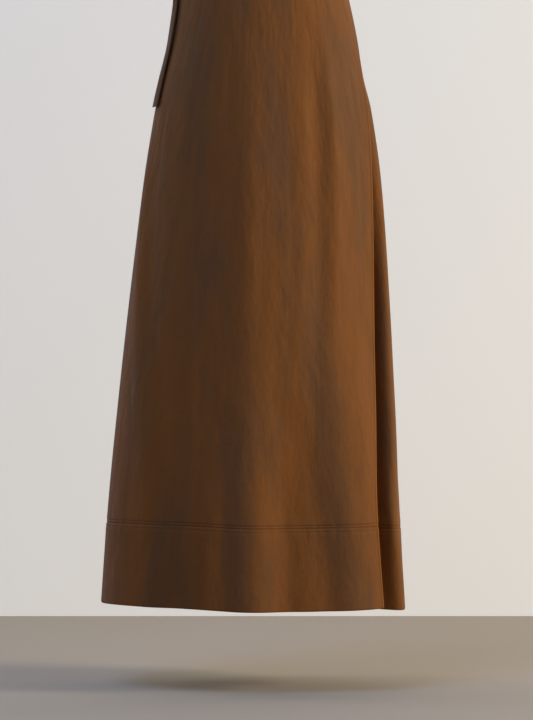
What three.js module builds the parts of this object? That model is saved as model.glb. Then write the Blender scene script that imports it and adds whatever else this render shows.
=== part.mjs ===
// A worn wrap maxi skirt: a front that laps over to the wearer's left, an underlap beneath
// it, one back, shaped hem bands, a waistband and a tie knotted at the right hip.
// Millimetres, +Z up. The origin is the middle of the waist, the front faces -Y and the
// wearer's left side is +X.
import * as THREE from "three";

// Cloth and sewing sizes
const panelThick = 2;
const bandThick = 2.6;
const waistThick = 3;
const tieThick = 2.4;
const seamGap = 0.3;
const waistbandHeight = 36;
const waistbandProud = 0.4;
const hemBandHeight = 123;
const bandProud = 0.3;

// The wrap: how far the overlap lies outside the underlap, at the waist and at the hem
const lapStepWaist = 3.6;
const lapStepHem = 7;

// The way round is measured as a turn in degrees from the centre front: 90 is the wearer's
// left side, 180 the back, 270 the right side and 360 the front again, one layer out.
const underlapStart = -20;
const leftSeam = 90;
const rightSeam = 270;
const hemLevel = -955;

// Half sizes of the skirt at each height, and the turn at which the overlap's edge lies.
const sections = [
  { z: 18, left: 126, right: 127, front: 94, back: 97, edge: 443 },
  { z: 0, left: 127, right: 128, front: 95, back: 98, edge: 443 },
  { z: -91, left: 141, right: 149, front: 104, back: 120, edge: 437 },
  { z: -149, left: 155, right: 158, front: 109, back: 131, edge: 432.5 },
  { z: -195, left: 165, right: 168, front: 113, back: 138, edge: 429.5 },
  { z: -303, left: 182, right: 181, front: 122, back: 143, edge: 425 },
  { z: -488, left: 205, right: 193, front: 138, back: 153, edge: 420.5 },
  { z: -642, left: 222, right: 203, front: 152, back: 166, edge: 416.2 },
  { z: -795, left: 237, right: 213.3, front: 167, back: 182, edge: 411.6 },
  { z: -965, left: 249, right: 222, front: 186, back: 202, edge: 413 },
];

// The height of the hem on the way round. The underlap's hidden part is shorter.
const hemline = [
  { turn: -20, z: -948 },
  { turn: 42, z: -949 },
  { turn: 64, z: -958 },
  { turn: 90, z: -959 },
  { turn: 180, z: -956 },
  { turn: 270, z: -952 },
  { turn: 303, z: -950.5 },
  { turn: 335, z: -951.5 },
  { turn: 353, z: -955 },
  { turn: 380, z: -955.5 },
  { turn: 410, z: -953.5 },
  { turn: 443, z: -953 },
];

// Folds that every layer shares: the angle from the front where each starts, how far it has
// moved at the hem, its half width in degrees, the heights where it starts, is full and has
// gone, and its depth. A plus depth is a ridge and a minus depth is a trough.
const belowHem = -5000;
const folds = [
  { at: -80, drift: 38, width: 7, from: -180, full: -400, gone: belowHem, depth: 3.5 },
  { at: -68, drift: 36, width: 7, from: -180, full: -420, gone: belowHem, depth: -3 },
  { at: -19.6, drift: 0, width: 5, from: -680, full: -900, gone: belowHem, depth: 2.2 },
  { at: -13, drift: -1, width: 5, from: -700, full: -900, gone: belowHem, depth: -2.2 },
  { at: -8, drift: 3, width: 10, from: -40, full: -300, gone: belowHem, depth: 5 },
  { at: 8, drift: 1, width: 7, from: -620, full: -900, gone: belowHem, depth: -4 },
  { at: 17, drift: 1, width: 5, from: -680, full: -900, gone: belowHem, depth: 3.5 },
  { at: 27, drift: 0, width: 5, from: -740, full: -920, gone: belowHem, depth: -3 },
  { at: 29.5, drift: -7.5, width: 4.8, from: -50, full: -230, gone: -860, depth: -4.4 },
  { at: 39.5, drift: -10, width: 4.8, from: -50, full: -230, gone: -860, depth: 4 },
  { at: 14, drift: 0, width: 13, from: -480, full: -840, gone: belowHem, depth: -9 },
  { at: 47, drift: 0, width: 13, from: -480, full: -840, gone: belowHem, depth: 12 },
  { at: 114, drift: 3, width: 9, from: -160, full: -940, gone: belowHem, depth: 11 },
  { at: 136, drift: 1, width: 8, from: -200, full: -950, gone: belowHem, depth: -10 },
  { at: 157, drift: -2, width: 8, from: -140, full: -930, gone: belowHem, depth: 10 },
  { at: 177, drift: 2, width: 9, from: -220, full: -960, gone: belowHem, depth: -9 },
  { at: 199, drift: 3, width: 8, from: -170, full: -940, gone: belowHem, depth: 11 },
  { at: 221, drift: 0, width: 9, from: -240, full: -950, gone: belowHem, depth: -9 },
  { at: 243, drift: -3, width: 8, from: -190, full: -930, gone: belowHem, depth: 9 },
  { at: 261, drift: -2, width: 6, from: -300, full: -950, gone: belowHem, depth: -4 },
];

// Folds of the underlap's layer alone, in degrees past the overlap's edge: a deep trough
// that the edge stands over, the flute that shows beside it, and the fuller side behind.
const lapFolds = [
  { past: 5, width: 7.5, from: -70, full: -640, gone: belowHem, depth: -30 },
  { past: 20, width: 7, from: -40, full: -640, gone: belowHem, depth: 12 },
  { past: 33, width: 14, from: -10, full: -120, gone: belowHem, depth: 3.5 },
];

// The flute's crest leans forward over the trough.
const lapLean = { past: 20, width: 8, from: -140, full: -560, gone: belowHem, reach: 24 };

// The overlap's free edge lifts a little over the hip.
const edgeLift = { width: 5, from: -70, full: -200, gone: -560, depth: 2.5 };

// The tie: its places are turns too, one more time round than the overlap's.
const tieWidth = 24;
const tieNeck = 9;
const tieSpread = 45;
const strapEnd = 632;
const knotTurn = 638.5;
const knotSize = { along: 15, out: 9, up: 14 };
const tail = { topTurn: 642, endTurn: 641, length: 178, outTop: 7, outEnd: 5.5 };
const shortEnd = { topTurn: 635, endTurn: 624, length: 62, outTop: 7, outEnd: 5 };

// Faces along each piece: columns go round it and rows go down it
const panelRows = 13;
const bandRows = 3;
const waistbandRows = 2;
const tieColumns = 4;
const tieRowHeight = 16;
const degreesPerColumn = 3;

const radians = THREE.MathUtils.degToRad;
const { lerp, smoothstep } = THREE.MathUtils;

// A smooth curve through one column of a table, read at a place in its key column.
function readTable(table, key, column, at) {
  const sign = table[1][key] > table[0][key] ? 1 : -1;
  let row = 0;
  while (row < table.length - 2 && (at - table[row + 1][key]) * sign > 0) {
    row += 1;
  }
  const slope = (k) => {
    const before = table[Math.max(k - 1, 0)];
    const after = table[Math.min(k + 1, table.length - 1)];
    return (after[column] - before[column]) / (after[key] - before[key]);
  };
  const step = table[row + 1][key] - table[row][key];
  const t = THREE.MathUtils.clamp((at - table[row][key]) / step, 0, 1);
  const t2 = t * t;
  const t3 = t2 * t;
  return (
    (2 * t3 - 3 * t2 + 1) * table[row][column] +
    (t3 - 2 * t2 + t) * step * slope(row) +
    (3 * t2 - 2 * t3) * table[row + 1][column] +
    (t3 - t2) * step * slope(row + 1)
  );
}

const sectionAt = (column, z) => readTable(sections, "z", column, z);
const hemAt = (turn) => readTable(hemline, "turn", "z", turn);

// How strong a fold is at a height: nothing at its start, 1 where it is full.
function foldStrength(fold, z) {
  const grown = smoothstep(-z, -fold.from, -fold.full);
  const faded = smoothstep(-z, -fold.full, -fold.gone);
  return grown * (1 - faded);
}

const bell = (away, width) => Math.exp(-((away / width) ** 2));

// The shortest way round from one angle to another, from -180 to 180 degrees
function angleBetween(from, to) {
  return THREE.MathUtils.euclideanModulo(to - from + 180, 360) - 180;
}

// How far the cloth lies outside the plain oval at this turn and height.
function foldOut(turn, z) {
  let out = 0;
  for (const fold of folds) {
    const moved = fold.drift * smoothstep(-z, -fold.from, -hemLevel);
    out += fold.depth * foldStrength(fold, z) * bell(angleBetween(fold.at + moved, turn), fold.width);
  }
  const edge = sectionAt("edge", z);
  if (turn < rightSeam) {
    for (const fold of lapFolds) {
      const place = edge - 360 + fold.past;
      out += fold.depth * foldStrength(fold, z) * bell(turn - place, fold.width);
    }
    const step = lerp(lapStepWaist, lapStepHem, THREE.MathUtils.clamp(z / hemLevel, 0, 1));
    out -= step * (1 - smoothstep(turn, leftSeam, rightSeam));
  } else {
    out += edgeLift.depth * foldStrength(edgeLift, z) * bell(turn - edge, edgeLift.width);
  }
  return out;
}

// How far the underlap's flute leans forward, along the cloth
function leanForward(turn, z) {
  if (turn >= rightSeam) return 0;
  const past = turn - sectionAt("edge", z) + 360 - lapLean.past;
  return lapLean.reach * foldStrength(lapLean, z) * bell(past, lapLean.width);
}

// The plain oval with its folds, as a point of the cloth's outer face.
function foldedPoint(turn, z) {
  const angle = radians(turn);
  const wide = Math.sin(angle) > 0 ? sectionAt("right", z) : sectionAt("left", z);
  const deep = Math.cos(angle) > 0 ? sectionAt("front", z) : sectionAt("back", z);
  const normal = new THREE.Vector2(Math.sin(angle) / wide, -Math.cos(angle) / deep).normalize();
  const out = foldOut(turn, z);
  const lean = leanForward(turn, z);
  return new THREE.Vector2(
    wide * Math.sin(angle) + out * normal.x + lean * normal.y,
    -deep * Math.cos(angle) + out * normal.y - lean * normal.x,
  );
}

// A point that lies a distance outside the cloth's outer face, square to it
function clothPoint(turn, z, outside) {
  const nearTurn = 0.25;
  const here = foldedPoint(turn, z);
  const along = foldedPoint(turn + nearTurn, z).sub(foldedPoint(turn - nearTurn, z)).normalize();
  return new THREE.Vector3(here.x + along.y * outside, here.y - along.x * outside, z);
}

// A closed wall between two faces of a sheet. The face function gives a point from the
// share of the way round, the share of the way down, and 0 for the outer or 1 for the inner.
function makeWall(face, columns, rows) {
  const across = columns + 1;
  const layer = across * (rows + 1);
  const positions = [];
  for (const side of [0, 1]) {
    for (let row = 0; row <= rows; row += 1) {
      for (let column = 0; column <= columns; column += 1) {
        positions.push(...face(column / columns, row / rows, side).toArray());
      }
    }
  }
  const indices = [];
  for (let row = 0; row < rows; row += 1) {
    for (let column = 0; column < columns; column += 1) {
      const a = row * across + column;
      const b = a + across;
      indices.push(a, b, a + 1, a + 1, b, b + 1);
      indices.push(layer + a, layer + a + 1, layer + b, layer + a + 1, layer + b + 1, layer + b);
    }
  }
  const rim = [];
  for (let row = 0; row < rows; row += 1) {
    rim.push(row * across);
  }
  for (let column = 0; column < columns; column += 1) {
    rim.push(rows * across + column);
  }
  for (let row = rows; row > 0; row -= 1) {
    rim.push(row * across + columns);
  }
  for (let column = columns; column > 0; column -= 1) {
    rim.push(column);
  }
  rim.forEach((here, k) => {
    const next = rim[(k + 1) % rim.length];
    indices.push(next, here, layer + here, next, layer + here, layer + next);
  });
  const geometry = new THREE.BufferGeometry();
  geometry.setAttribute("position", new THREE.Float32BufferAttribute(positions, 3));
  geometry.setIndex(indices);
  geometry.computeVertexNormals();
  return geometry;
}

// Half a seam's gap as degrees of turn
const seamTrim = (z) => THREE.MathUtils.radToDeg(seamGap / 2 / sectionAt("front", z));

// A stretch of the skirt's cloth between two turns, given as functions of height, and two
// heights, given as functions of turn.
function makeCloth({ start, end, top, bottom, thick, proud, rows }) {
  const middle = (start(hemLevel / 2) + end(hemLevel / 2)) / 2;
  const columns = Math.round((end(hemLevel / 2) - start(hemLevel / 2)) / degreesPerColumn);
  const face = (acrossShare, downShare, side) => {
    const level = lerp(top(middle), bottom(middle), downShare);
    const turn = lerp(start(level), end(level), acrossShare);
    const z = lerp(top(turn), bottom(turn), downShare);
    return clothPoint(turn, z, proud - side * thick);
  };
  return makeWall(face, columns, rows);
}

const overlapEdge = (z) => sectionAt("edge", z);
const panelTop = () => -waistbandHeight / 2 - seamGap;
const panelBottom = (turn) => hemAt(turn) + hemBandHeight + seamGap / 2;
const bandTop = (turn) => hemAt(turn) + hemBandHeight - seamGap / 2;

function makePanel(start, end) {
  return makeCloth({
    start,
    end,
    top: panelTop,
    bottom: panelBottom,
    thick: panelThick,
    proud: 0,
    rows: panelRows,
  });
}

function makeHemBand(start, end) {
  return makeCloth({
    start,
    end,
    top: bandTop,
    bottom: hemAt,
    thick: bandThick,
    proud: bandProud,
    rows: bandRows,
  });
}

function makeWaistband() {
  return makeCloth({
    start: () => underlapStart,
    end: () => sections[0].edge,
    top: () => waistbandHeight / 2,
    bottom: () => -waistbandHeight / 2,
    thick: waistThick,
    proud: waistbandProud,
    rows: waistbandRows,
  });
}

// The strap goes on from the waistband's outer end, round the back, outside the waistband,
// and lies close on it before the knot.
function makeStrap() {
  const start = sections[0].edge + seamTrim(0) * 2;
  const lifted = waistbandProud + seamGap + tieThick;
  const closeShare = 0.95;
  const face = (acrossShare, downShare, side) => {
    const turn = lerp(start, strapEnd, acrossShare);
    const out = lerp(waistbandProud, lifted, smoothstep(acrossShare, 0, closeShare));
    return clothPoint(turn, lerp(tieWidth / 2, -tieWidth / 2, downShare), out - side * tieThick);
  };
  return makeWall(face, Math.round((strapEnd - start) / degreesPerColumn), 1);
}

const knotOut = waistbandProud + seamGap + knotSize.out;

// The knot is pulled tight into a rounded lump on the waistband.
function makeKnot() {
  const centre = clothPoint(knotTurn, 0, knotOut);
  const outward = clothPoint(knotTurn, 0, knotOut + 1).sub(centre);
  const [meridians, rings] = [20, 12];
  const geometry = new THREE.SphereGeometry(1, meridians, rings);
  geometry.rotateX(Math.PI / 2);
  geometry.scale(knotSize.along, knotSize.out, knotSize.up);
  geometry.rotateZ(Math.atan2(outward.y, outward.x) - Math.PI / 2);
  geometry.translate(centre.x, centre.y, centre.z);
  return geometry;
}

// How far the knot's underside lies below its middle, this far along and out from it
function knotUnderside(along, out) {
  const rest = 1 - (along / knotSize.along) ** 2 - (out / knotSize.out) ** 2;
  return knotSize.up * Math.sqrt(Math.max(rest, 0));
}

// A free end of the tie hangs from under the knot, narrow there and soon at its full width.
function makeTieEnd({ topTurn, endTurn, length, outTop, outEnd }) {
  const perDegree = (z) => radians(sectionAt("front", z));
  const face = (acrossShare, downShare, side) => {
    const opened = smoothstep(downShare * length, 0, tieSpread);
    const out = lerp(outTop, outEnd, opened);
    const width = lerp(tieNeck, tieWidth, opened);
    const along = (acrossShare - 0.5) * width;
    const fromKnot = along + (topTurn - knotTurn) * perDegree(0);
    const top = -knotUnderside(fromKnot, knotOut - out) - 2 * seamGap;
    const z = lerp(top, -length - knotSize.up, downShare);
    const turn = lerp(topTurn, endTurn, opened) + along / perDegree(z);
    return clothPoint(turn, z, out - side * tieThick);
  };
  return makeWall(face, tieColumns, Math.ceil(length / tieRowHeight));
}

// Materials
const cloth = () => new THREE.MeshStandardMaterial({ color: 0x7a4c29, roughness: 0.72, metalness: 0 });
const bandCloth = () => new THREE.MeshStandardMaterial({ color: 0x724726, roughness: 0.74, metalness: 0 });
const tieCloth = () => new THREE.MeshStandardMaterial({ color: 0x6b4325, roughness: 0.74, metalness: 0 });

function addPiece(group, name, geometry, material) {
  const mesh = new THREE.Mesh(geometry, material);
  mesh.name = name;
  group.add(mesh);
}

const atTurn = (turn, trimSign) => (z) => turn + trimSign * seamTrim(z);

const group = new THREE.Group();
addPiece(group, "front_overlap", makePanel(atTurn(rightSeam, 1), overlapEdge), cloth());
addPiece(group, "front_hem_band", makeHemBand(atTurn(rightSeam, 1), overlapEdge), bandCloth());
addPiece(group, "underlap", makePanel(() => underlapStart, atTurn(leftSeam, -1)), cloth());
addPiece(group, "underlap_hem_band", makeHemBand(() => underlapStart, atTurn(leftSeam, -1)), bandCloth());
addPiece(group, "back_panel", makePanel(atTurn(leftSeam, 1), atTurn(rightSeam, -1)), cloth());
addPiece(group, "back_hem_band", makeHemBand(atTurn(leftSeam, 1), atTurn(rightSeam, -1)), bandCloth());
addPiece(group, "waistband", makeWaistband(), bandCloth());
addPiece(group, "tie_strap", makeStrap(), tieCloth());
addPiece(group, "tie_knot", makeKnot(), tieCloth());
addPiece(group, "tie_tail", makeTieEnd(tail), tieCloth());
addPiece(group, "tie_short_end", makeTieEnd(shortEnd), tieCloth());

export default group;
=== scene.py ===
import math

import bmesh
import bpy
import numpy as np
from mathutils import Matrix, Vector


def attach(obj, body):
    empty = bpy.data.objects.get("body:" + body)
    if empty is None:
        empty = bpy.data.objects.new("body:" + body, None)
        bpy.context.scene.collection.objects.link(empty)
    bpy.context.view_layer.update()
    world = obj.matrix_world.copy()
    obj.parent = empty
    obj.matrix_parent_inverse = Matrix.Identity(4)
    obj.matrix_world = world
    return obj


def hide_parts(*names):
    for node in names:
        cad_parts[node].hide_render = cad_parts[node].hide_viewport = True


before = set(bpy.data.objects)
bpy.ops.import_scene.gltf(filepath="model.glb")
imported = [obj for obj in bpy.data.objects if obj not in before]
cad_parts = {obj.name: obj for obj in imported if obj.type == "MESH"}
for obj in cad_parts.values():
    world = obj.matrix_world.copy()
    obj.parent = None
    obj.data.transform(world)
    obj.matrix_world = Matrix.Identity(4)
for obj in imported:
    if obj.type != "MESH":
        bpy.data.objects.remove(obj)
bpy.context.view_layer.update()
mm = 0.001  # the tables below are in millimetres, as on a pattern sheet
body = "root"


# camera, floor, wall and lights

shot = {
    "distance": 5.2,  # from the body's middle plane
    "eyeHeight": -0.58,
    "aside": 0.0062,
    "focalPixels": 3380,
    "pictureHeight": 720,
}

room = {
    "floorHeight": -1.08,
    "wallBehind": 1.4,
    "width": 9.0,
    "floorColour": (0.465, 0.38, 0.275),
    "wallColour": (0.722, 0.683, 0.598),
    "wallGlow": 0.42,
    "air": (0.72, 0.98, 1.9),
    "airStrength": 0.1,
    "beyondColour": (0.68, 0.67, 0.655),  # what the camera sees past the wall
}

lamps = [
    {"name": "keyLight", "at": (4.0, -1.3, 0.8), "aim": (0, 0, -0.5), "size": 1.5, "watts": 142, "colour": (1, 0.94, 0.79)},
    {"name": "fillLight", "at": (-0.9, -1.7, 1.9), "aim": (0, 0, -0.3), "size": 1.4, "watts": 20.5, "colour": (0.59, 0.94, 1.95)},
    {"name": "edgeLight", "at": (-2.6, 0.8, 1.5), "aim": (0, 0, -0.2), "size": 1.2, "watts": 15, "colour": (0.86, 0.93, 1)},
]


def aimAt(thing, target):
    direction = Vector(target) - thing.location
    thing.rotation_euler = direction.to_track_quat("-Z", "Y").to_euler()


def makeCamera():
    data = bpy.data.cameras.new("camera")
    data.sensor_width = 36
    data.lens = shot["focalPixels"] / shot["pictureHeight"] * data.sensor_width
    camera = bpy.data.objects.new("camera", data)
    camera.location = (shot["aside"], -shot["distance"], shot["eyeHeight"])
    camera.rotation_euler = (math.radians(90), 0, 0)
    bpy.context.collection.objects.link(camera)
    bpy.context.scene.camera = camera


def makeLamps():
    for lamp in lamps:
        data = bpy.data.lights.new(lamp["name"], "AREA")
        data.shape = "SQUARE"
        data.size = lamp["size"]
        data.energy = lamp["watts"]
        data.color = lamp["colour"]
        light = bpy.data.objects.new(lamp["name"], data)
        light.location = lamp["at"]
        bpy.context.collection.objects.link(light)
        aimAt(light, lamp["aim"])
    world = bpy.data.worlds.new("air")
    world.use_nodes = True
    tree = world.node_tree
    background = tree.nodes["Background"]
    background.inputs["Color"].default_value = (*room["air"], 1)
    background.inputs["Strength"].default_value = room["airStrength"]
    beyond = tree.nodes.new("ShaderNodeBackground")
    beyond.inputs["Color"].default_value = (*room["beyondColour"], 1)
    seen = tree.nodes.new("ShaderNodeLightPath")
    mix = tree.nodes.new("ShaderNodeMixShader")
    tree.links.new(seen.outputs["Is Camera Ray"], mix.inputs["Fac"])
    tree.links.new(background.outputs["Background"], mix.inputs[1])
    tree.links.new(beyond.outputs["Background"], mix.inputs[2])
    tree.links.new(mix.outputs["Shader"], tree.nodes["World Output"].inputs["Surface"])
    bpy.context.scene.world = world


def stageMaterial(name, colour, glow):
    material = bpy.data.materials.new(name)
    material.use_nodes = True
    tree = material.node_tree
    shader = tree.nodes["Principled BSDF"]
    shader.inputs["Base Color"].default_value = (*colour, 1)
    shader.inputs["Roughness"].default_value = 0.85
    shader.inputs["Emission Color"].default_value = (*colour, 1)
    shader.inputs["Emission Strength"].default_value = glow
    behind = tree.nodes.new("ShaderNodeNewGeometry")  # seen from behind it is clear
    clear = tree.nodes.new("ShaderNodeBsdfTransparent")
    mix = tree.nodes.new("ShaderNodeMixShader")
    tree.links.new(behind.outputs["Backfacing"], mix.inputs["Fac"])
    tree.links.new(shader.outputs["BSDF"], mix.inputs[1])
    tree.links.new(clear.outputs["BSDF"], mix.inputs[2])
    tree.links.new(mix.outputs["Shader"], tree.nodes["Material Output"].inputs["Surface"])
    return material


def makeRoom():
    bpy.ops.object.select_all(action="DESELECT")
    bpy.ops.mesh.primitive_plane_add(size=room["width"], location=(0, 0, room["floorHeight"]))
    floor = bpy.context.object
    floor.name = "floor"
    floor.data.materials.append(stageMaterial("floorPaint", room["floorColour"], 0.0))
    bpy.ops.object.select_all(action="DESELECT")
    wallMiddle = (0, room["wallBehind"], room["floorHeight"] + room["width"] / 2)
    bpy.ops.mesh.primitive_plane_add(size=room["width"], location=wallMiddle, rotation=(math.radians(90), 0, 0))
    wall = bpy.context.object
    wall.name = "wall"
    wall.data.materials.append(stageMaterial("wallPaint", room["wallColour"], room["wallGlow"]))


# the skirt's shape
# the way round is a turn in degrees: 90 is the wearer's left, 180 the back, 270 the right
# side and 360 the front again, one layer further out

sectionColumns = ("z", "left", "right", "front", "back", "edge")
sections = np.array([
    (18, 126, 127, 94, 97, 443),
    (0, 127, 128, 95, 98, 443),
    (-91, 141, 149, 104, 120, 437),
    (-149, 155, 158, 109, 131, 432.5),
    (-195, 165, 168, 113, 138, 429.5),
    (-303, 182, 181, 122, 143, 425),
    (-488, 205, 193, 138, 153, 420.5),
    (-642, 222, 203, 152, 166, 415.7),
    (-795, 237, 213.3, 167, 182, 410),
    (-965, 249, 222, 186, 202, 411.5),
])

hemColumns = ("turn", "z")
hemline = np.array([
    (-20, -948),
    (42, -949),
    (64, -958),
    (90, -959),
    (180, -956),
    (270, -952),
    (303, -950.5),
    (335, -951.5),
    (353, -955),
    (380, -955.5),
    (410, -953.5),
    (443, -953),
])

seams = {"underlapStart": -20, "left": 90, "right": 270}
lap = {"stepWaist": 3.6, "stepHem": 7, "hemLevel": -955}
seamGap = 0.3
hemBandHeight = 123
waistbandHeight = 36
gone = -5000  # far below the hem, for a fold that runs to it

# the main folds: where each starts, how far it moves by the hem, its half width in degrees,
# the heights where it starts, is full and has gone, and its depth, minus for a trough
foldColumns = ("at", "drift", "width", "from", "full", "gone", "depth")
folds = [
    (-80, 38, 7, -180, -400, gone, 3.5),
    (-68, 36, 7, -180, -420, gone, -3),
    (-19.6, 0, 5, -680, -900, gone, 2.2),
    (-13, -1, 5, -700, -900, gone, -2.2),
    (-6.4, 2, 9, -40, -300, gone, 5.4),
    (8, 1, 7, -620, -900, gone, -4),
    (17, 1, 5, -680, -900, gone, 3.5),
    (27, 0, 5, -740, -920, gone, -3),
    (29.5, -7.5, 4.8, -50, -230, -860, -4.4),
    (39.5, -10, 4.8, -50, -230, -860, 4),
    (14, 0, 12.5, -480, -840, gone, -13.5),
    (46, 0, 13, -480, -840, gone, 13.5),
    (20, 0, 7, -560, -860, gone, -2.4),
    (35.5, 0, 7, -560, -860, gone, 2.4),
    (114, 3, 9, -160, -940, gone, 11),
    (136, 1, 8, -200, -950, gone, -10),
    (157, -2, 8, -140, -930, gone, 10),
    (177, 2, 9, -220, -960, gone, -9),
    (199, 3, 8, -170, -940, gone, 11),
    (221, 0, 9, -240, -950, gone, -9),
    (243, -3, 8, -190, -930, gone, 9),
    (261, -2, 6, -300, -950, gone, -4),
]

# fine creases that only the cloth has
creases = [
    (-62, 4, 1.6, -120, -260, -520, -0.9),
    (-50, 6, 2.2, -300, -520, -860, 0.8),
    (-37, 2, 1.8, -90, -240, -430, -0.7),
    (-30, 3, 2.4, -420, -640, gone, 0.9),
    (-22, -2, 1.5, -60, -170, -330, 0.6),
    (-2, 2, 2.0, -350, -560, -900, -0.8),
    (4, -1, 1.6, -80, -230, -480, 0.6),
    (14, -2, 1.8, -180, -330, -620, -0.7),
    (22, 1, 1.7, -60, -190, -420, 0.8),
    (41, -6, 1.6, -90, -220, -520, -0.8),
    (57, -8, 2.2, -90, -210, -600, -1.0),
    (101, 2, 2.4, -240, -480, -900, -1.0),
    (125, 1, 2.2, -330, -620, gone, 0.9),
    (148, -1, 2.4, -110, -300, -640, -0.9),
    (168, 2, 2.0, -280, -560, gone, 1.0),
    (188, 0, 2.2, -120, -340, -700, -0.8),
    (210, 1, 2.4, -260, -520, gone, 0.9),
    (232, -2, 2.2, -100, -320, -640, -0.9),
    (252, -1, 2.0, -340, -600, -920, 0.8),
]

# the underlap's own folds, in degrees past the overlap's edge
lapFolds = [
    (5, 1, 7.5, -70, -640, gone, -30),
    (20, 1.8, 7, -40, -640, gone, 12),
    (33, 1.8, 14, -10, -120, gone, 3.5),
    (6, 0, 4.5, -20, -120, -640, -6),
    (20, 1.8, 8, -580, -730, gone, 2.6),
]
lapLean = (20, 1.8, 8, -140, -560, gone, 24)  # the side fold's crest leans forward by this much
edgeLift = (0, 0, 5, -70, -200, -560, 2.5)


def readTable(table, columns, column, at):
    # a smooth curve through one column, as a draper would draw it
    keys = table[:, 0]
    values = table[:, columns.index(column)]
    order = np.argsort(keys)
    keys, values = keys[order], values[order]
    slopes = np.empty_like(values)
    slopes[1:-1] = (values[2:] - values[:-2]) / (keys[2:] - keys[:-2])
    slopes[0] = (values[1] - values[0]) / (keys[1] - keys[0])
    slopes[-1] = (values[-1] - values[-2]) / (keys[-1] - keys[-2])
    row = np.clip(np.searchsorted(keys, at) - 1, 0, len(keys) - 2)
    step = keys[row + 1] - keys[row]
    t = np.clip((at - keys[row]) / step, 0, 1)
    return (
        (2 * t**3 - 3 * t**2 + 1) * values[row]
        + (t**3 - 2 * t**2 + t) * step * slopes[row]
        + (3 * t**2 - 2 * t**3) * values[row + 1]
        + (t**3 - t**2) * step * slopes[row + 1]
    )


def sectionAt(column, z):
    return readTable(sections, sectionColumns, column, z)


def hemAt(turn):
    return readTable(hemline, hemColumns, "z", turn)


def smoothStep(value, low, high):
    t = np.clip((value - low) / (high - low), 0, 1)
    return t * t * (3 - 2 * t)


def bell(away, width):
    return np.exp(-((away / width) ** 2))


def foldStrength(fold, z):
    start, full, end = fold[3:6]
    return smoothStep(-z, -start, -full) * (1 - smoothStep(-z, -full, -end))


def foldCentre(fold, z):
    return fold[0] + fold[1] * smoothStep(-z, -fold[3], -lap["hemLevel"])


def foldOut(turn, z):
    out = np.zeros_like(z)
    for fold in folds + creases:
        away = (turn - foldCentre(fold, z) + 180) % 360 - 180
        out += fold[6] * foldStrength(fold, z) * bell(away, fold[2])
    edge = sectionAt("edge", z)
    under = np.zeros_like(z)
    for fold in lapFolds:
        under += fold[6] * foldStrength(fold, z) * bell(turn - edge + 360 - foldCentre(fold, z), fold[2])
    step = lap["stepWaist"] + (lap["stepHem"] - lap["stepWaist"]) * np.clip(z / lap["hemLevel"], 0, 1)
    under -= step * (1 - smoothStep(turn, seams["left"], seams["right"]))
    over = edgeLift[6] * foldStrength(edgeLift, z) * bell(turn - edge, edgeLift[2])
    return out + np.where(turn < seams["right"], under, over)


def foldedPoint(turn, z):
    angle = np.radians(turn)
    wide = np.where(np.sin(angle) > 0, sectionAt("right", z), sectionAt("left", z))
    deep = np.where(np.cos(angle) > 0, sectionAt("front", z), sectionAt("back", z))
    nx, ny = np.sin(angle) / wide, -np.cos(angle) / deep
    size = np.hypot(nx, ny)
    out = foldOut(turn, z)
    past = turn - sectionAt("edge", z) + 360 - foldCentre(lapLean, z)
    lean = np.where(turn < seams["right"], lapLean[6] * foldStrength(lapLean, z) * bell(past, lapLean[2]), 0)
    x = wide * np.sin(angle) + (out * nx + lean * ny) / size
    y = -deep * np.cos(angle) + (out * ny - lean * nx) / size
    return x, y


def clothPoint(turn, z, outside):
    # a point this far outside the cloth's face, square to it, in metres
    turn, z = np.broadcast_arrays(np.asarray(turn, float), np.asarray(z, float))
    near = 0.25
    x, y = foldedPoint(turn, z)
    x1, y1 = foldedPoint(turn + near, z)
    x0, y0 = foldedPoint(turn - near, z)
    size = np.hypot(x1 - x0, y1 - y0)
    ax, ay = (x1 - x0) / size, (y1 - y0) / size
    return np.stack([x + ay * outside, y - ax * outside, z], axis=-1) * mm


# meshes


def meshObject(name, points, faces, smooth=True):
    mesh = bpy.data.meshes.new(name)
    mesh.from_pydata([tuple(p) for p in points], [], faces)
    mesh.update()
    piece = bpy.data.objects.new(name, mesh)
    bpy.context.collection.objects.link(piece)
    if smooth:
        mesh.shade_smooth()
    return piece


def addUvMap(piece, name, places):
    corners = np.empty(len(piece.data.loops), dtype=np.int32)
    piece.data.loops.foreach_get("vertex_index", corners)
    layer = piece.data.uv_layers.new(name=name)
    layer.data.foreach_set("uv", places[corners].ravel())


def closedSheet(name, outer, inner, flat, hang):
    # two grids of points, outer and inner face, joined round their rim; flat is the place
    # of each point on the flat cut, in metres, and hang runs straight down the worn cloth
    rows, columns = outer.shape[:2]
    layer = rows * columns
    number = np.arange(layer).reshape(rows, columns)
    a, b = number[:-1, :-1].ravel(), number[1:, :-1].ravel()
    c, d = number[1:, 1:].ravel(), number[:-1, 1:].ravel()
    faces = np.stack([a, b, c, d], axis=1)
    faces = np.concatenate([faces, faces[:, ::-1] + layer])
    rim = np.concatenate([number[:-1, 0], number[-1, :-1], number[:0:-1, -1], number[0, :0:-1]])
    following = np.roll(rim, -1)
    sides = np.stack([following, rim, rim + layer, following + layer], axis=1)
    faces = np.concatenate([faces, sides]).tolist()
    points = np.concatenate([outer.reshape(-1, 3), inner.reshape(-1, 3)])
    piece = meshObject(name, points, faces)
    addUvMap(piece, "flatCut", np.concatenate([flat.reshape(-1, 2)] * 2))
    addUvMap(piece, "hang", np.concatenate([hang.reshape(-1, 2)] * 2))
    return piece


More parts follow.
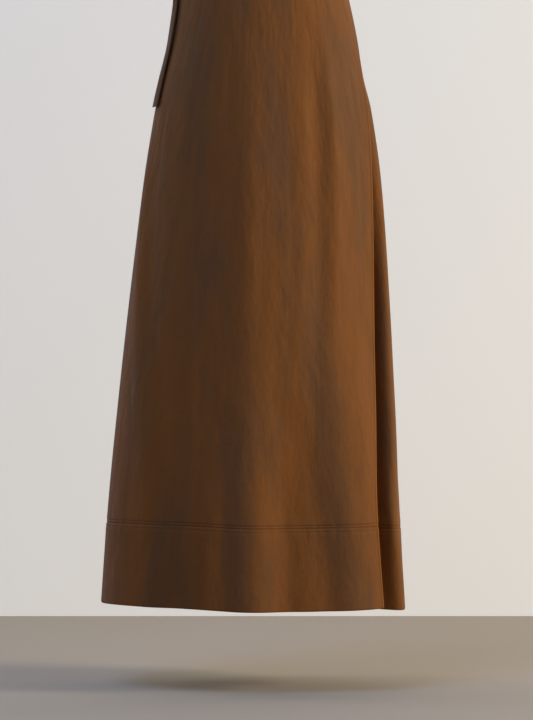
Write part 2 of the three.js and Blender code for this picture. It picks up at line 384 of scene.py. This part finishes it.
def roundRim(piece, width):
    # a soft, turned edge in place of a cut one
    bpy.ops.object.select_all(action="DESELECT")
    bpy.context.view_layer.objects.active = piece
    piece.select_set(True)
    bevel = piece.modifiers.new("turnedEdge", "BEVEL")
    bevel.limit_method = "ANGLE"
    bevel.angle_limit = math.radians(50)
    bevel.width = width
    bevel.segments = 2
    bpy.ops.object.modifier_apply(modifier=bevel.name)
    piece.data.shade_smooth()


def steps(length, coarse, fine, fineStart, fineEnd):
    # places along a length, close together near either end where a seam or an edge rolls
    head = np.arange(0, fineStart, fine)
    tail = length - np.arange(0, fineEnd, fine)[::-1]
    low = fineStart if fineStart else 0
    high = length - fineEnd if fineEnd else length
    count = max(2, int(round((high - low) / coarse)))
    middle = np.linspace(low, high, count + 1)
    return np.unique(np.round(np.concatenate([head, middle, tail]), 4))


# cloth

cloth = {
    "lit": (0.258, 0.084, 0.0122),  # the rust that the light side shows
    "deep": (0.193, 0.075, 0.0185),  # the browner tone between
    "dusk": (0.120, 0.065, 0.034),  # the olive shade that the cloth turns in places
    "threadPitch": 0.0008,
    "roughness": 0.58,
    "sheen": 0.05,
    "sheenTint": (0.74, 0.82, 0.95),
    "sheenRoughness": 0.42,
}


def addNode(tree, kind, inputs=None, **settings):
    node = tree.nodes.new(kind)
    for key, value in settings.items():
        setattr(node, key, value)
    for key, value in (inputs or {}).items():
        if isinstance(value, bpy.types.NodeSocket):
            tree.links.new(value, node.inputs[key])
        else:
            node.inputs[key].default_value = value
    return node


def stretched(tree, vector, across, down):
    return addNode(tree, "ShaderNodeMapping", {"Vector": vector, "Scale": (across, down, 1)}).outputs["Vector"]


def noiseOn(tree, vector, scale, detail, roughness=0.5):
    inputs = {"Vector": vector, "Scale": scale, "Detail": detail, "Roughness": roughness}
    return addNode(tree, "ShaderNodeTexNoise", inputs).outputs["Fac"]


def mixColours(tree, share, first, second, blend="MIX"):
    node = addNode(tree, "ShaderNodeMix", data_type="RGBA", blend_type=blend)
    tree.links.new(share, node.inputs["Factor"])
    for socket, value in ((node.inputs[6], first), (node.inputs[7], second)):
        if isinstance(value, bpy.types.NodeSocket):
            tree.links.new(value, socket)
        else:
            socket.default_value = (*value, 1)
    return node.outputs[2]


def rangeOf(tree, value, low, high, toLow, toHigh):
    inputs = {"Value": value, "From Min": low, "From Max": high, "To Min": toLow, "To Max": toHigh}
    return addNode(tree, "ShaderNodeMapRange", inputs).outputs["Result"]


def maths(tree, operation, first, second):
    return addNode(tree, "ShaderNodeMath", {0: first, 1: second}, operation=operation).outputs["Value"]


def clothMaterial(name, darken=1.0):
    material = bpy.data.materials.new(name)
    material.use_nodes = True
    tree = material.node_tree
    shader = tree.nodes["Principled BSDF"]
    flat = addNode(tree, "ShaderNodeUVMap", uv_map="flatCut").outputs["UV"]
    hang = addNode(tree, "ShaderNodeUVMap", uv_map="hang").outputs["UV"]

    # tone: soft long streaks down the cloth between rust, brown and an olive shade
    broad = noiseOn(tree, stretched(tree, hang, 15, 2.6), 1.0, 3, 0.55)
    narrow = noiseOn(tree, stretched(tree, hang, 64, 17), 1.0, 3, 0.55)
    slub = noiseOn(tree, stretched(tree, flat, 26, 430), 1.0, 3, 0.6)  # faint lines across
    grain = noiseOn(tree, stretched(tree, flat, 900, 700), 1.0, 2, 0.6)
    tone = maths(tree, "ADD", rangeOf(tree, broad, 0.3, 0.7, 0, 0.79), rangeOf(tree, narrow, 0.25, 0.75, 0, 0.21))
    lit = tuple(c * darken for c in cloth["lit"])
    deep = tuple(c * darken for c in cloth["deep"])
    dusk = tuple(c * darken for c in cloth["dusk"])
    colour = mixColours(tree, rangeOf(tree, tone, 0.3, 0.7, 0, 0.7), lit, deep)
    colour = mixColours(tree, rangeOf(tree, tone, 0.5, 0.85, 0, 0.27), colour, dusk)
    colour = mixColours(tree, rangeOf(tree, slub, 0.35, 0.75, 0, 0.14), colour, dusk)
    colour = mixColours(tree, rangeOf(tree, grain, 0.3, 0.8, 0, 0.22), colour, deep)
    tree.links.new(colour, shader.inputs["Base Color"])

    # weave: warp and weft ribs with a crepe's uneven twist
    scale = 2 * math.pi / 20 / cloth["threadPitch"]
    warp = addNode(tree, "ShaderNodeTexWave", {"Vector": flat, "Scale": scale, "Distortion": 1.4, "Detail": 1.0, "Detail Scale": 1.5}, bands_direction="X").outputs["Fac"]
    weft = addNode(tree, "ShaderNodeTexWave", {"Vector": flat, "Scale": scale * 0.86, "Distortion": 1.6, "Detail": 1.0, "Detail Scale": 1.5}, bands_direction="Y").outputs["Fac"]
    weave = maths(tree, "MULTIPLY", warp, weft)
    height = maths(tree, "ADD", maths(tree, "MULTIPLY", weave, 0.5), maths(tree, "MULTIPLY", slub, 0.7))
    height = maths(tree, "ADD", height, maths(tree, "MULTIPLY", grain, 0.8))
    fine = addNode(tree, "ShaderNodeBump", {"Height": height, "Strength": 0.8, "Distance": 0.0003})
    soft = noiseOn(tree, stretched(tree, hang, 32, 13), 1.0, 3, 0.5)  # the hand of a washed cloth
    inputs = {"Height": soft, "Strength": 0.42, "Distance": 0.009, "Normal": fine.outputs["Normal"]}
    bump = addNode(tree, "ShaderNodeBump", inputs)
    tree.links.new(bump.outputs["Normal"], shader.inputs["Normal"])

    roughness = rangeOf(tree, narrow, 0.3, 0.7, cloth["roughness"] - 0.05, cloth["roughness"] + 0.07)
    tree.links.new(roughness, shader.inputs["Roughness"])
    shader.inputs["Specular IOR Level"].default_value = 0.11
    shader.inputs["Sheen Weight"].default_value = cloth["sheen"]
    shader.inputs["Sheen Roughness"].default_value = cloth["sheenRoughness"]
    shader.inputs["Sheen Tint"].default_value = (*cloth["sheenTint"], 1)
    return material


def threadAndShadeMaterial():
    material = bpy.data.materials.new("threadWithPaintedShade")
    material.use_nodes = True
    tree = material.node_tree
    shader = tree.nodes["Principled BSDF"]
    place = addNode(tree, "ShaderNodeTexCoord").outputs["Object"]
    twist = addNode(tree, "ShaderNodeTexWave", {"Vector": place, "Scale": 900, "Distortion": 0.6}, bands_direction="DIAGONAL").outputs["Fac"]
    # the thread is much darker than the cloth: partly its own colour, partly painted shade for the groove it lies in
    tree.links.new(mixColours(tree, twist, (0.026, 0.016, 0.010), (0.062, 0.034, 0.017)), shader.inputs["Base Color"])
    bump = addNode(tree, "ShaderNodeBump", {"Height": twist, "Strength": 0.5, "Distance": 0.0001})
    tree.links.new(bump.outputs["Normal"], shader.inputs["Normal"])
    shader.inputs["Roughness"].default_value = 0.5
    shader.inputs["Sheen Weight"].default_value = 0.2
    return material


# panels and hem bands

panel = {"thick": 1.2, "columnStep": 4.4, "rowStep": 7.0, "fine": 0.8}
underPanel = {"thick": 1.2, "columnStep": 2.4, "rowStep": 7.0, "fine": 0.8}
turnedEdge = {"width": 2.4, "paintedHighlight": 1.5, "lip": 1.7}  # the overlap's pressed edge: its last 2.4 mm and its rim get a lighter copy of the cloth, a painted highlight; lip is its raised relief
hemBand = {"thick": 1.9, "proud": 0.3, "columnStep": 4.4, "rowStep": 5.0, "fine": 0.8}
seamRoll = {"depth": 1.2, "width": 1.7, "bite": 0.2}  # both edges of the band's seam roll in
sideSeam = {"depth": 1.0, "width": 1.3, "bite": 0.2}
topstitch = {"above": 4.6, "groove": 0.8, "width": 1.1, "pitch": 3.1, "length": 2.6, "thread": 0.55, "lift": 0.2}
pressLine = {"below": 5.2, "depth": 0.4, "width": 1.1}  # where the seam allowance ends inside
pucker = {"depth": 0.28, "reach": 15}


def puckers(turn, away):
    # small uneven gathers where the needle went
    wave = np.sin(turn * 0.83) + 0.7 * np.sin(turn * 1.57 + 1.1) + 0.4 * np.sin(turn * 2.6 + 2.3)
    return pucker["depth"] * wave * bell(away, pucker["reach"])


def panelRelief(turn, z, rows):
    above = z - rows["bottom"]
    roll = -seamRoll["depth"] * bell(above, seamRoll["width"])
    groove = -topstitch["groove"] * bell(above - topstitch["above"], topstitch["width"])
    tucked = -0.6 * smoothStep(z, rows["top"] - 3, rows["top"] - 1)
    return roll + groove + tucked + puckers(turn, above)


def bandRelief(turn, z, rows):
    below = rows["top"] - z
    roll = -seamRoll["depth"] * bell(below, seamRoll["width"])
    pressed = -pressLine["depth"] * bell(below - pressLine["below"], pressLine["width"])
    hemRoll = -0.7 * bell(z - rows["bottom"], 1.6)
    return roll + pressed + hemRoll + puckers(turn, below)


def edgeRelief(turn, z):
    # the overlap's turned free edge: a little thicker, and its very end stands up
    inside = (sectionAt("edge", z) - turn) * np.radians(sectionAt("front", z) * 0.92)
    lip = turnedEdge["lip"] * (1 - smoothStep(inside, 0, 3.4)) * smoothStep(-z, 90, 190)
    return 0.4 * (1 - smoothStep(inside, 7, 9.5)) + lip


def seamDip(turn, z, seamTurn):
    # the cloth turns in where it is sewn to its neighbour at a side seam
    away = np.abs(turn - seamTurn) * np.radians(sectionAt("front", z))
    return -sideSeam["depth"] * bell(away, sideSeam["width"])


def paintEdgeHighlight(piece, fromEnd, rowCount):
    # gives the faces along a free edge, and the rim, the second material: a lighter copy of the cloth, a painted
    # highlight
    onFace = np.tile(fromEnd < turnedEdge["width"], rowCount)
    index = np.ones(len(piece.data.polygons), dtype=np.int32)
    index[:2 * len(onFace)] = np.concatenate([onFace, 0 * onFace])
    piece.data.polygons.foreach_set("material_index", index)


def clothPatch(name, start, end, top, bottom, build, relief, sewnAt=(), freeEnd=False):
    middleTurn = (start(-480) + end(-480)) / 2
    middle = (np.asarray(top(middleTurn)) + np.asarray(bottom(middleTurn))) / 2
    around = np.linspace(start(middle), end(middle), 200)
    arc = np.linalg.norm(np.diff(clothPoint(around, middle, 0), axis=0), axis=1).sum() / mm
    down = float(top(middleTurn) - bottom(middleTurn))
    acrossShares = steps(arc, build["columnStep"], build["fine"], 6.4, 6.4) / arc
    downShares = steps(down, build["rowStep"], build["fine"], 6.4, 8.8) / down
    across, share = np.meshgrid(acrossShares, downShares)
    level = top(middleTurn) + (bottom(middleTurn) - top(middleTurn)) * share
    turn = start(level) + (end(level) - start(level)) * across
    rows = {"top": top(turn), "bottom": bottom(turn)}
    z = rows["top"] + (rows["bottom"] - rows["top"]) * share
    out = build.get("proud", 0) + relief(turn, z, rows)
    for seamTurn in sewnAt:
        out = out + seamDip(turn, z, seamTurn)
    outer = clothPoint(turn, z, out)
    inner = clothPoint(turn, z, out - build["thick"])

    # the flat cut: an arc-shaped piece whose grain runs down its middle
    widths = np.linalg.norm(np.diff(outer, axis=1), axis=2).sum(axis=1)
    lengths = np.concatenate([[0], np.cumsum(np.linalg.norm(np.diff(outer[:, outer.shape[1] // 2], axis=0), axis=1))])
    spread = (widths[-1] - widths[0]) / lengths[-1]
    radius = widths[0] / max(spread, 1e-3) + lengths
    swing = (across - 0.5) * spread
    flat = np.stack([radius[:, None] * np.sin(swing), -radius[:, None] * np.cos(swing)], axis=-1)
    hang = np.stack([np.radians(turn) * 0.19, z * mm], axis=-1)
    piece = closedSheet(name, outer, inner, flat, hang)
    if freeEnd:
        paintEdgeHighlight(piece, (1 - acrossShares[:-1]) * arc, len(downShares) - 1)
    roundRim(piece, build["thick"] * 0.42 * mm)
    cut = {"top": widths[0], "bottom": widths[-1], "length": lengths[-1]}
    return piece, cut


def declareSheet(piece, cut):
    flatSize = (max(cut["top"], cut["bottom"]), cut["length"])


def finishPiece(piece, materials, nodes=()):
    for material in materials:
        piece.data.materials.append(material)
    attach(piece, body)
    if nodes:
        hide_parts(*nodes)


def fromSeam(turn, side):
    # each edge at a seam passes it a little, inside the dip, so no light comes through
    return lambda z: turn - side * np.degrees(sideSeam["bite"] / sectionAt("front", np.asarray(z, float)))


def fixedTurn(turn):
    return lambda z: turn + 0.0 * np.asarray(z, float)


def overlapEdge(z):
    return sectionAt("edge", np.asarray(z, float))


def panelTop(turn):
    return -waistbandHeight / 2 + 1.2 + 0.0 * np.asarray(turn, float)  # just inside the waistband


def panelBottom(turn):
    return hemAt(np.asarray(turn, float)) + hemBandHeight - seamRoll["bite"]


def bandTop(turn):
    return hemAt(np.asarray(turn, float)) + hemBandHeight + seamRoll["bite"]


def bandBottom(turn):
    return hemAt(np.asarray(turn, float))


def underEdgeRelief(turn, z):
    inside = (turn - seams["underlapStart"]) * np.radians(sectionAt("front", z) * 1.5)
    return -0.8 * bell(inside, 1.6)


def overlapRelief(turn, z, rows):
    return panelRelief(turn, z, rows) + edgeRelief(turn, z)


def overlapBandRelief(turn, z, rows):
    return bandRelief(turn, z, rows) + edgeRelief(turn, z)


def underlapRelief(turn, z, rows):
    return panelRelief(turn, z, rows) + underEdgeRelief(turn, z)


def underlapBandRelief(turn, z, rows):
    return bandRelief(turn, z, rows) + underEdgeRelief(turn, z)


# stitches


def oneStitch():
    bpy.ops.object.select_all(action="DESELECT")
    bpy.ops.mesh.primitive_uv_sphere_add(segments=6, ring_count=4, radius=1, rotation=(0, math.radians(90), 0))
    stitch = bpy.context.object
    bpy.ops.object.transform_apply(location=False, rotation=True, scale=False)
    bpy.ops.object.mode_set(mode="EDIT")
    bpy.ops.mesh.select_all(action="SELECT")
    half = topstitch["thread"] / 2 * mm
    bpy.ops.transform.resize(value=(topstitch["length"] / 2 * mm, half, half))
    bpy.ops.object.mode_set(mode="OBJECT")
    return stitch


def stitchRow(name, pattern, paths):
    # copies of the one stitch along each path, which gives points and outward directions
    points = np.array([v.co for v in pattern.data.vertices])
    shape = [tuple(p.vertices) for p in pattern.data.polygons]
    allPoints, allFaces = [], []
    for line, outward in paths:
        lengths = np.concatenate([[0], np.cumsum(np.linalg.norm(np.diff(line, axis=0), axis=1))])
        places = np.arange(topstitch["pitch"] * mm / 2, lengths[-1], topstitch["pitch"] * mm)
        at = np.stack([np.interp(places, lengths, line[:, k]) for k in range(3)], axis=1)
        ahead = np.stack([np.interp(places + 0.4 * mm, lengths, line[:, k]) for k in range(3)], axis=1)
        out = np.stack([np.interp(places, lengths, outward[:, k]) for k in range(3)], axis=1)
        for middle, along, up in zip(at, ahead - at, out):
            along = along / np.linalg.norm(along)
            side = np.cross(up, along)
            side = side / np.linalg.norm(side)
            turned = np.stack([along, side, np.cross(along, side)])
            base = len(allPoints)
            allPoints.extend(points @ turned + middle)
            allFaces.extend(tuple(base + i for i in face) for face in shape)
    return meshObject(name, allPoints, allFaces)


def sewingLine(start, end, height, outside):
    # a line of points round the skirt, and the way that faces out of the cloth at each
    turn = np.linspace(float(start), float(end), 520)
    z = height(turn)
    sink = outside(turn)
    here = clothPoint(turn, z, sink)
    out = clothPoint(turn, z, sink + 1) - here
    return here, out / np.linalg.norm(out, axis=1)[:, None]


def topstitchHeight(turn):
    return panelBottom(turn) + topstitch["above"]


def topstitchDepth(turn):
    return topstitch["lift"] - topstitch["groove"] + puckers(turn, topstitch["above"])


# tie

tie = {
    "width": 24,
    "neck": 9,
    "thick": 2.2,
    "spread": 45,
    "strapStart": 443.2,
    "strapEnd": 632,
    "knotTurn": 638.5,
    "knotSize": (15, 9, 14),
    "waistbandProud": 0.4,
}
tieEnds = {
    "tieTail": {"topTurn": 642, "endTurn": 641, "length": 178, "outTop": 7, "outEnd": 5.5, "node": "tie_tail"},
    "tieShortEnd": {"topTurn": 635, "endTurn": 624, "length": 62, "outTop": 7, "outEnd": 5, "node": "tie_short_end"},
}


def mixed(low, high, share):
    return low + (high - low) * share


def gridSheet(name, surface, acrossCount, downCount, thick, size):
    across, down = np.meshgrid(np.linspace(0, 1, acrossCount + 1), np.linspace(0, 1, downCount + 1))
    outer, inner = surface(across, down, 0), surface(across, down, thick)
    flat = np.stack([across * size[0], -down * size[1]], axis=-1)
    piece = closedSheet(name, outer, inner, flat, flat)
    roundRim(piece, thick * 0.42 * mm)
    return piece


bandEdge = {"stitchAt": 14.6, "groove": 0.55, "width": 1.0, "roll": 0.8}


def bandEdgeDepth(turn):
    return tie["waistbandProud"] + topstitch["lift"] - bandEdge["groove"]


def makeWaistband():
    settings = {"thick": 2.7, "proud": tie["waistbandProud"], "columnStep": 4.4, "rowStep": 3.0, "fine": 0.7}

    def relief(turn, z, rows):
        rolled = -bandEdge["roll"] * (bell(z - rows["bottom"], 1.5) + bell(rows["top"] - z, 1.5))
        grooves = -bandEdge["groove"] * bell(np.abs(z) - bandEdge["stitchAt"], bandEdge["width"])
        return rolled + grooves + 0.6 * puckers(turn, 10) * bell(z, 9)

    half = waistbandHeight / 2
    return clothPatch("waistBand", fixedTurn(seams["underlapStart"]), fixedTurn(sections[0][5]), fixedTurn(half), fixedTurn(-half), settings, relief)


def makeStrap():
    lifted = tie["waistbandProud"] + seamGap + tie["thick"] + 0.2
    half = tie["width"] / 2

    def surface(across, down, depth):
        turn = mixed(tie["strapStart"], tie["strapEnd"], across)
        out = mixed(tie["waistbandProud"], lifted, smoothStep(across, 0, 0.95))
        gathered = smoothStep(across, 0.9, 1)
        reach = half * (1 - 0.42 * gathered)
        z = mixed(reach, -reach, down)
        pleats = 0.55 * gathered * np.sin(down * 19)
        edgeDip = -0.3 * bell(np.abs(down - 0.5) - 0.41, 0.035)
        return clothPoint(turn, z + 0.35 * np.sin(across * 23), out + pleats + edgeDip - depth)

    length = 0.338
    piece = gridSheet("tieStrap", surface, 150, 22, tie["thick"], (length, tie["width"] * mm))
    return piece, {"top": length, "bottom": length, "length": tie["width"] * mm}


def knotUnderside(along, out):
    size = tie["knotSize"]
    rest = np.clip(1 - (along / size[0]) ** 2 - (out / size[1]) ** 2, 0, 1)
    return size[2] * np.sqrt(rest)


def makeTieEnd(name, end):
    knotOut = tie["waistbandProud"] + seamGap + tie["knotSize"][1]

    def surface(across, down, depth):
        opened = smoothStep(down * end["length"], 0, tie["spread"])
        out = mixed(end["outTop"], end["outEnd"], opened)
        width = mixed(tie["neck"], tie["width"], opened)
        along = (across - 0.5) * width
        fromKnot = along + (end["topTurn"] - tie["knotTurn"]) * np.radians(sectionAt("front", 0 * down))
        top = -knotUnderside(fromKnot, knotOut - out) + 1.5  # tucked just under the knot's cloth
        z = mixed(top, -end["length"] - tie["knotSize"][2], down)
        turn = mixed(end["topTurn"], end["endTurn"], opened) + along / np.radians(sectionAt("front", z))
        pleats = 0.7 * (1 - opened) * np.sin(across * 15 + 0.6)
        sway = 0.9 * opened * np.sin(down * 5.2 + 0.4) + 0.5 * opened * np.sin(across * 3.1 + down * 9)
        edgeDip = -0.35 * opened * bell(np.abs(across - 0.5) - 0.41, 0.035)
        return clothPoint(turn, z, out + pleats + sway * 0.6 + edgeDip - depth)

    length = (end["length"] + 2) * mm
    piece = gridSheet(name, surface, 22, int(end["length"] / 2.4), tie["thick"], (tie["width"] * mm, length))
    return piece, {"top": tie["width"] * mm, "bottom": tie["width"] * mm, "length": length}


def knotFrame():
    knotOut = tie["waistbandProud"] + seamGap + tie["knotSize"][1]
    centre = Vector(clothPoint(tie["knotTurn"], 0, knotOut))
    outward = (Vector(clothPoint(tie["knotTurn"], 0, knotOut + 1)) - centre).normalized()
    up = Vector((0, 0, 1))
    along = outward.cross(up).normalized()
    return Matrix((along, outward, up)).transposed().to_4x4(), centre


def placeByCode(piece, shape):
    turned, centre = knotFrame()
    for vertex in piece.data.vertices:
        vertex.co = turned @ (Vector(shape(vertex.co)) * mm) + centre
    piece.location = (0, 0, 0)
    piece.rotation_euler = (0, 0, 0)
    piece.data.update()


def makeKnot():
    # one turn of the tie lies over the rest, which shows as a crumpled lump at its sides
    bpy.ops.object.select_all(action="DESELECT")
    bpy.ops.mesh.primitive_torus_add(major_segments=72, minor_segments=28, major_radius=1, minor_radius=0.3)
    wrap = bpy.context.object

    def wrapShape(co):
        ring = math.atan2(co.y, co.x)
        centreDistance = math.hypot(co.x, co.y) - 1
        across, thick = co.z / 0.3, centreDistance / 0.3
        across = math.copysign(abs(across) ** 0.8, across)
        bulge = 1 + 0.06 * math.sin(ring * 2 + 0.7)
        radiusOut, radiusUp = 6.9 * bulge, 12.4 * bulge
        rib = 0.35 * math.sin(across * 8.5 + ring * 0.8)
        depth = thick * 1.35 + (rib if thick > 0 else 0) - 0.9 * across * across
        along = across * (9.4 - 2.0 * abs(math.cos(ring)))
        out = math.cos(ring) * (radiusOut + depth)
        up = math.sin(ring) * (radiusUp + depth)
        return along + up * 0.16, out, up - along * 0.14

    placeByCode(wrap, wrapShape)
    bpy.ops.object.select_all(action="DESELECT")
    bpy.ops.mesh.primitive_uv_sphere_add(segments=56, ring_count=36, radius=1)
    lump = bpy.context.object

    def lumpShape(co):
        fold = math.atan2(co.z, co.y)
        crumple = 1 + 0.07 * math.sin(fold * 5 + co.x * 3) + 0.04 * math.sin(fold * 9 - co.x * 5)
        return co.x * 14.2, co.y * 6.6 * crumple, co.z * 10.4 * crumple

    placeByCode(lump, lumpShape)
    bpy.ops.object.select_all(action="DESELECT")
    lump.select_set(True)
    wrap.select_set(True)
    bpy.context.view_layer.objects.active = wrap
    bpy.ops.object.join()
    knot = bpy.context.object
    knot.name = "tieKnot"
    bpy.ops.object.mode_set(mode="EDIT")
    bpy.ops.mesh.select_all(action="SELECT")
    bpy.ops.mesh.normals_make_consistent(inside=False)
    bpy.ops.object.mode_set(mode="OBJECT")
    knot.data.shade_smooth()
    while knot.data.uv_layers:
        knot.data.uv_layers.remove(knot.data.uv_layers[0])
    places = np.array([(v.co.y, v.co.z) for v in knot.data.vertices])
    addUvMap(knot, "flatCut", places)
    addUvMap(knot, "hang", places)
    return knot


# the work, piece by piece

bpy.context.scene.view_settings.view_transform = "Standard"
makeCamera()
makeLamps()
makeRoom()
print("camera, lights and room are up")

skirtCloth = clothMaterial("skirtCloth")
bandCloth = clothMaterial("bandCloth", 0.93)
# the tie's cloth is the skirt's cloth darkened: painted shade for a tie that hangs in shade
shadedTieCloth = clothMaterial("shadedTieCloth", 0.68)
# a lighter copy of the cloth for the overlap's free edge: a painted highlight
paintedEdgeHighlightCloth = clothMaterial("paintedEdgeHighlightCloth", turnedEdge["paintedHighlight"])
thread = threadAndShadeMaterial()
print("cloth is woven")

left, right = seams["left"], seams["right"]
underStart = fixedTurn(seams["underlapStart"])
pieces = {}
pieces["frontOverlap"] = clothPatch("frontOverlap", fromSeam(right, 1), overlapEdge, panelTop, panelBottom, panel, overlapRelief, [right], True)
pieces["underlapPanel"] = clothPatch("underlapPanel", underStart, fromSeam(left, -1), panelTop, panelBottom, underPanel, underlapRelief, [left])
pieces["backPanel"] = clothPatch("backPanel", fromSeam(left, 1), fromSeam(right, -1), panelTop, panelBottom, panel, panelRelief, [left, right])
print("panels are cut and hung")
pieces["frontHemBand"] = clothPatch("frontHemBand", fromSeam(right, 1), overlapEdge, bandTop, bandBottom, hemBand, overlapBandRelief, [right], True)
pieces["underlapHemBand"] = clothPatch("underlapHemBand", underStart, fromSeam(left, -1), bandTop, bandBottom, hemBand, underlapBandRelief, [left])
pieces["backHemBand"] = clothPatch("backHemBand", fromSeam(left, 1), fromSeam(right, -1), bandTop, bandBottom, hemBand, bandRelief, [left, right])
pieces["waistBand"] = makeWaistband()
print("hem bands and waistband are on")

nodeOf = {
    "frontOverlap": "front_overlap",
    "underlapPanel": "underlap",
    "backPanel": "back_panel",
    "frontHemBand": "front_hem_band",
    "underlapHemBand": "underlap_hem_band",
    "backHemBand": "back_hem_band",
    "waistBand": "waistband",
}
for name, (piece, cut) in pieces.items():
    isBand = "Band" in name
    cloths = [bandCloth if isBand else skirtCloth]
    if "front" in name:
        cloths.append(paintedEdgeHighlightCloth)
    finishPiece(piece, cloths, [nodeOf[name]])

pattern = oneStitch()
sewing = {
    "frontOverlap": [(270.2, 409.4, topstitchHeight, topstitchDepth)],
    "underlapPanel": [(-19.8, 89.8, topstitchHeight, topstitchDepth)],
    "backPanel": [(90.2, 269.8, topstitchHeight, topstitchDepth)],
    "waistBand": [(84, 442.6, fixedTurn(-bandEdge["stitchAt"]), bandEdgeDepth), (84, 442.6, fixedTurn(bandEdge["stitchAt"]), bandEdgeDepth)],
}
for name, lines in sewing.items():
    row = stitchRow(name + "Stitches", pattern, [sewingLine(*line) for line in lines])
    finishPiece(row, [thread])
bpy.data.objects.remove(pattern)
print("topstitching is sewn")

for name, (piece, cut) in pieces.items():
    declareSheet(piece, cut)

strap, strapCut = makeStrap()
finishPiece(strap, [shadedTieCloth], ["tie_strap"])
knot = makeKnot()
finishPiece(knot, [shadedTieCloth], ["tie_knot"])
declareSheet(strap, strapCut)
for name, end in tieEnds.items():
    piece, cut = makeTieEnd(name, end)
    finishPiece(piece, [shadedTieCloth], [end["node"]])
    declareSheet(piece, cut)
print("tie is knotted")
